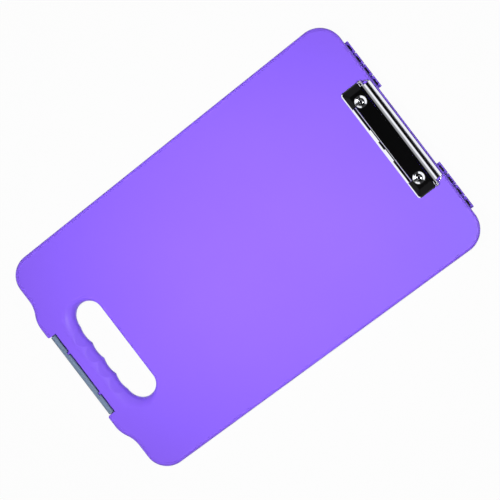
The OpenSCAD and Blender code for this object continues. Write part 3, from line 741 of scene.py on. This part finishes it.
def polished_chrome(name, colour, roughness):
    """Bright plating: a little polishing haze and the finest scratches."""
    made = bpy.data.materials.new(name)
    made.use_nodes = True
    mix = Recipe(made.node_tree)
    place = mix.node("ShaderNodeTexCoord", output=3)
    haze = mix.node("ShaderNodeTexNoise", {}, {"Vector": place, "Scale": 140.0, "Detail": 3.0})
    brushed = mix.node("ShaderNodeMapping", {}, {"Vector": place, "Scale": (40, 2600, 2600)})
    lines = mix.node("ShaderNodeTexNoise", {}, {"Vector": brushed, "Scale": 1.0, "Detail": 2.0})
    bump = mix.node("ShaderNodeBump", {}, {
        "Strength": 0.05, "Distance": 0.00002, "Height": lines})
    mix.node("ShaderNodeOutputMaterial", {}, {0: mix.node("ShaderNodeBsdfPrincipled", {}, {
        "Base Color": mix.blend(haze, (*colour, 1), (*[c * 0.94 for c in colour], 1)),
        "Metallic": 1.0, "Roughness": roughness + haze * 0.03, "Normal": bump})})
    return made


chrome = polished_chrome("clip_chrome", (0.86, 0.87, 0.90), 0.03)


def housing_ring(side, front, radius, z):
    """One level of the housing, drawn in from the sides and the front, its corners rounded."""
    bm = bmesh.new()
    at = bm.verts.new((0, (y_rim + front) * MM, z * MM))
    x, y = clip_half - side - radius, y_rim + front + radius
    at = line_to(bm, at, x, y - radius)
    at = arc_about(bm, at, x, y, pi / 2, 8)
    at = line_to(bm, at, clip_half - side, y_rear)
    line_to(bm, at, 0, y_rear)
    return mirrored(bm)


def housing():
    """The outer face of the housing, open below, at the rear and at the jaw's window."""
    bm = together(housing_ring(0, 0, clip_corner_r, 0), housing_ring(0, 0, clip_corner_r, bevel_z),
                  housing_ring(edge_in, edge_in, clip_corner_r - edge_in, shoulder_z),
                  housing_ring(end_slope, front_slope, top_corner_r, clip_h))
    for low, high in [(0, bevel_z), (bevel_z, shoulder_z), (shoulder_z, clip_h)]:
        bmesh.ops.bridge_loops(bm, edges=[
            e for e in bm.edges if level_at(low)(e) or level_at(high)(e)])
    bmesh.ops.contextual_create(bm, geom=[e for e in bm.edges if level_at(clip_h)(e)])
    bmesh.ops.recalc_face_normals(bm, faces=bm.faces[:])

    def at_rear(part):
        return all(v.co.y > (y_rear - 0.01) * MM for v in part.verts)

    def in_window(face):
        return all(abs(v.co.x) < (window_half + 0.01) * MM
                   and v.co.y < (window_rear + 0.01) * MM for v in face.verts)

    for z, radius, steps in [(clip_h, 0.4, 4), (shoulder_z, 0.25, 3), (bevel_z, 0.25, 3)]:
        rounded(bm, radius, steps, lambda e: level_at(z)(e) and not at_rear(e))
    for x, y, way in [(window_half, 0, (1, 0, 0)), (-window_half, 0, (1, 0, 0)),
                      (0, window_rear, (0, 1, 0))]:
        bmesh.ops.bisect_plane(bm, geom=bm.verts[:] + bm.edges[:] + bm.faces[:],
                               plane_co=Vector((x, y, 0)) * MM, plane_no=way)
    bmesh.ops.delete(bm, context="FACES",
                     geom=[f for f in bm.faces if at_rear(f) or in_window(f)])
    return bm


def thickened(bm, offset):
    """Gives a surface that looks up the sheet's thickness, below it or to both sides."""
    skin = as_object(bm, "skin")
    if sum(p.normal.z * p.area for p in skin.data.polygons) < 0:
        skin.data.flip_normals()
    thick = skin.modifiers.new("sheet", "SOLIDIFY")
    thick.thickness, thick.offset, thick.use_even_offset = sheet_t * MM, offset, True
    made = bmesh.new()
    made.from_mesh(with_modifiers(skin))
    bpy.data.objects.remove(skin)
    return made


def turned_ring(points, steps=48):
    """A closed section, given as (radius, height), turned about an upright axis."""
    bm = bmesh.new()
    ring = [bm.verts.new((r * MM, 0, z * MM)) for r, z in points]
    edges = [bm.edges.new(ends) for ends in zip(ring, ring[1:] + ring[:1])]
    bmesh.ops.spin(bm, geom=ring + edges, cent=(0, 0, 0), axis=(0, 0, 1), angle=2 * pi,
                   steps=steps, use_merge=True, use_duplicate=False)
    bmesh.ops.remove_doubles(bm, verts=bm.verts[:], dist=0.000001)
    return bm


def moved(bm, x, y, z):
    bmesh.ops.translate(bm, verts=bm.verts[:], vec=Vector((x, y, z)) * MM)
    return bm


def rivet_seats():
    """The dishes: over a rolled lip the sheet runs down to a flat seat on the board's boss."""
    dish = [(rivet_r, 2.5), (3.6, 2.5), (dish_r, 4.75), (dish_r, clip_h), (5.85, 5.57),
            (5.65, 5.44), (3.45, 3.55), (3.25, 3.4), (3.0, 3.3), (rivet_r, 3.3)]
    return together(*[moved(turned_ring(dish), side * rivet_x, rivet_y, 0) for side in (-1, 1)])


def ear():
    """A rounded tab, on the end of the housing's foot, that holds the lever's rod."""
    inner, outer = ear_x - ear_t / 2, ear_x + ear_t / 2
    return together(
        rounded(bar(ear_r, inner - 0.01, outer + 0.01, y_lever, z_lever, 40), 0.6, 5, turns_by(1)),
        block((inner, y_lever - 2, 0), (outer, y_lever + 2, z_lever)),
        block((inner, y_rear - 2 * ear_r, 0), (outer, y_rear + ear_r, 1.0)))


def eye(low_x, y, low_z, high_z):
    """A tab with a round end, which holds the jaw's rod or turns on it."""
    return together(block((low_x, y - eye_neck, low_z), (low_x + eye_w, y + eye_neck, high_z)),
                    bar(eye_r, low_x, low_x + eye_w, y, z_jaw, 24))


clip_housing = reopened(worked(thickened(housing(), -1), "clip_housing",
                               ("DIFFERENCE", rivet_posts(dish_r - 0.02, -1, 8))))
strap = block((-ear_x, y_rear - 1, 0), (ear_x, y_lever - 0.6 * roll_r, sheet_t / 2))
clip_housing = together(clip_housing, pair(ear), pair(lambda: eye(jaw_lug_x, y_jaw, z_jaw, 5.2)),
                        strap, rivet_seats())
clip_housing = as_object(moved(clip_housing, 0, 0, top_z), "clip_housing")
finished(clip_housing, chrome, "lid", "clip_plate", 40)


# ---- Jaw ------------------------------------------------------------------------------------
# A chromed pressing under the housing. Its front lip, stiffened by a gutter and two raised
# pads, shows in the window and holds the paper down. It turns on a rod in two lugs.
lip_gap = 0.18
lip_half = window_half - lip_gap
pad_in, pad_len = 4.5, 13.5
jaw_low, jaw_front, jaw_rear = 1.6, 3.5, 17.9
lip_line = [(0.45, 0.55), (2.2, 2.03), (2.4, 2.15), (2.6, 2.2), (2.8, 2.2), (3.4, 1.97),
            (3.6, 1.93), (3.75, 2.0), (3.95, 2.35), (4.75, 4.0)]
pad_line = [(2.0, 1.85), (3.45, 3.07), (3.6, 3.17), (3.8, 3.2), (4.2, 3.2)]


def bent_strip(points, low_x, high_x):
    """A sheet-metal strip along X, bent to a line of (y, z) points."""
    bm = bmesh.new()
    line = [bm.verts.new((low_x * MM, y * MM, z * MM)) for y, z in points]
    for ends in zip(line, line[1:]):
        bm.edges.new(ends)
    drawn = bmesh.ops.extrude_edge_only(bm, edges=bm.edges[:])["geom"]
    bmesh.ops.translate(bm, vec=((high_x - low_x) * MM, 0, 0),
                        verts=[v for v in drawn if isinstance(v, bmesh.types.BMVert)])
    return thickened(bm, 0)


jaw_pressing = together(
    bent_strip(lip_line, -lip_half, lip_half),
    block((-jaw_half, jaw_front, jaw_low), (jaw_half, jaw_rear, jaw_low + sheet_t)),
    pair(lambda: bent_strip(pad_line, pad_in, pad_in + pad_len)),
    pair(lambda: eye(jaw_half - eye_w, y_jaw - y_rim, 2.0, z_jaw)))
jaw_pressing = as_object(moved(jaw_pressing, 0, y_rim, top_z), "jaw_pressing")
finished(jaw_pressing, chrome, "jaw", "clip_jaw", 40)


# ---- Lever ----------------------------------------------------------------------------------
# The chromed lever behind the housing: a roll about its rod, a bar bent down and out to a
# ridged edge for the thumb, two curved end arms and, below, a nose that presses on the jaw.
roll_half = ear_x - ear_t / 2 - pass_gap
lever_half = roll_half - 3.6
nose_half, nose_out = 27.3, 1.1
arm_r, arm_z, arm_steps = 0.5, -0.7, 14
lever_line = [(-1.4, 1.6), (-0.25, 1.6), (0.0, 1.57), (0.25, 1.48), (2.0, 0.7), (2.3, 0.55),
              (3.6, -0.22), (3.85, -0.34), (4.1, -0.38), (6.2, -0.55), (6.35, -0.52),
              (6.7, -0.12), (6.85, -0.04), (7.0, -0.08), (lever_d - 0.2, -1.3)]


def roll_end():
    return rounded(bar(1.9, lever_half - 0.3, roll_half, 0, 0, 40), 0.8, 5, turns_by(1))


def end_arm():
    """A round wire-like arm that curves from the thumb edge in to the end of the roll."""
    bm = bmesh.new()
    bend_x, bend_y, long_x, long_y = 54.15, 1.0, 4.15, 6.9
    path = [Vector((bend_x + long_x * cos(a), bend_y + long_y * sin(a), arm_z))
            for a in [pi / 2 * i / arm_steps for i in range(arm_steps + 1)]]
    rings = []
    for i, p in enumerate(path):
        onwards = (path[min(i + 1, arm_steps)] - path[max(i - 1, 0)]).normalized()
        turn = onwards.to_track_quat("Z", "Y").to_matrix().to_4x4()
        rings.append(bmesh.ops.create_circle(
            bm, segments=12, radius=arm_r * MM, matrix=Matrix.Translation(p * MM) @ turn)["verts"])
    for near, far in zip(rings, rings[1:]):
        ends = set(near) | set(far)
        bmesh.ops.bridge_loops(bm, edges=[
            e for e in bm.edges if len(e.link_faces) < 2 and all(v in ends for v in e.verts)])
    bmesh.ops.holes_fill(bm, edges=bm.edges[:])
    return bm


lever_bar = together(
    bar(1.7, -lever_half, lever_half, 0, 0), pair(roll_end),
    bent_strip(lever_line, -lever_half, lever_half),
    block((-nose_half, -roll_r - nose_out, -sheet_t / 2), (nose_half, -0.5, sheet_t / 2)),
    pair(end_arm))
lever_bar = as_object(moved(lever_bar, 0, y_lever, top_z + z_lever), "lever_bar")
finished(lever_bar, chrome, "lever", "clip_lever", 40)


# ---- Rivets ---------------------------------------------------------------------------------
# Two chromed tubular rivets hold the housing to the board. Each has a turned-over head with an
# open bore, and is spread below over a washer.
bore_r, head_r = 1.15, 2.65
rivet = [(bore_r, -3.8), (2.2, -3.8), (2.4, -3.2), (rivet_r, -3.2), (rivet_r, 3.3), (head_r, 3.3),
         (head_r, 3.42), (2.55, 3.55), (2.05, 3.97), (1.9, 4.07), (1.75, 4.09), (1.6, 4.02),
         (1.25, 3.72), (bore_r, 3.6)]
eyelet_rivets = as_object(together(*[
    moved(turned_ring(rivet, 40), side * rivet_x, rivet_y, top_z) for side in (-1, 1)]),
    "eyelet_rivets")
finished(eyelet_rivets, chrome, "lid", "clip_rivets", 40)


# ---- Rods, spring and washers ---------------------------------------------------------------
# Steel wire and strip, cut to length: bright for the rods of latch, jaw and lever, the bowed
# leaf spring and the washers inside the lid, and near black for the two hinge rods, a colour
# that paints the shade in the slots over them.
def drawn_steel(name, colour, shade, roughness):
    """Drawn wire: fine lines along X, and spots where it has dulled."""
    made = bpy.data.materials.new(name)
    made.use_nodes = True
    mix = Recipe(made.node_tree)
    place = mix.node("ShaderNodeTexCoord", output=3)
    stretched = mix.node("ShaderNodeMapping", {}, {"Vector": place, "Scale": (60, 1800, 1800)})
    lines = mix.node("ShaderNodeTexNoise", {}, {"Vector": stretched, "Scale": 1.0, "Detail": 3.0})
    spots = mix.node("ShaderNodeTexNoise", {}, {"Vector": place, "Scale": 220.0, "Detail": 3.0})
    bump = mix.node("ShaderNodeBump", {}, {
        "Strength": 0.15, "Distance": 0.00003, "Height": lines})
    mix.node("ShaderNodeOutputMaterial", {}, {0: mix.node("ShaderNodeBsdfPrincipled", {}, {
        "Base Color": mix.blend(spots, (*colour, 1), (*shade, 1)), "Metallic": 1.0,
        "Roughness": roughness + lines * 0.16, "Normal": bump})})
    return made


for steel, nodes in [
        (drawn_steel("bare_steel", (0.40, 0.41, 0.43), (0.52, 0.52, 0.53), 0.24),
         ["latch_pin", "clip_jaw_pin", "clip_lever_pin", "clip_spring", "rivet_washers"]),
        # the hinge rods' near-black colour is painted shade for the slots over them
        (drawn_steel("slot_shade_steel", (0.035, 0.03, 0.04), (0.07, 0.06, 0.075), 0.34),
         ["hinge_pin_left", "hinge_pin_right"])]:
    for name in nodes:
        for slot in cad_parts[name].material_slots:
            slot.material = steel
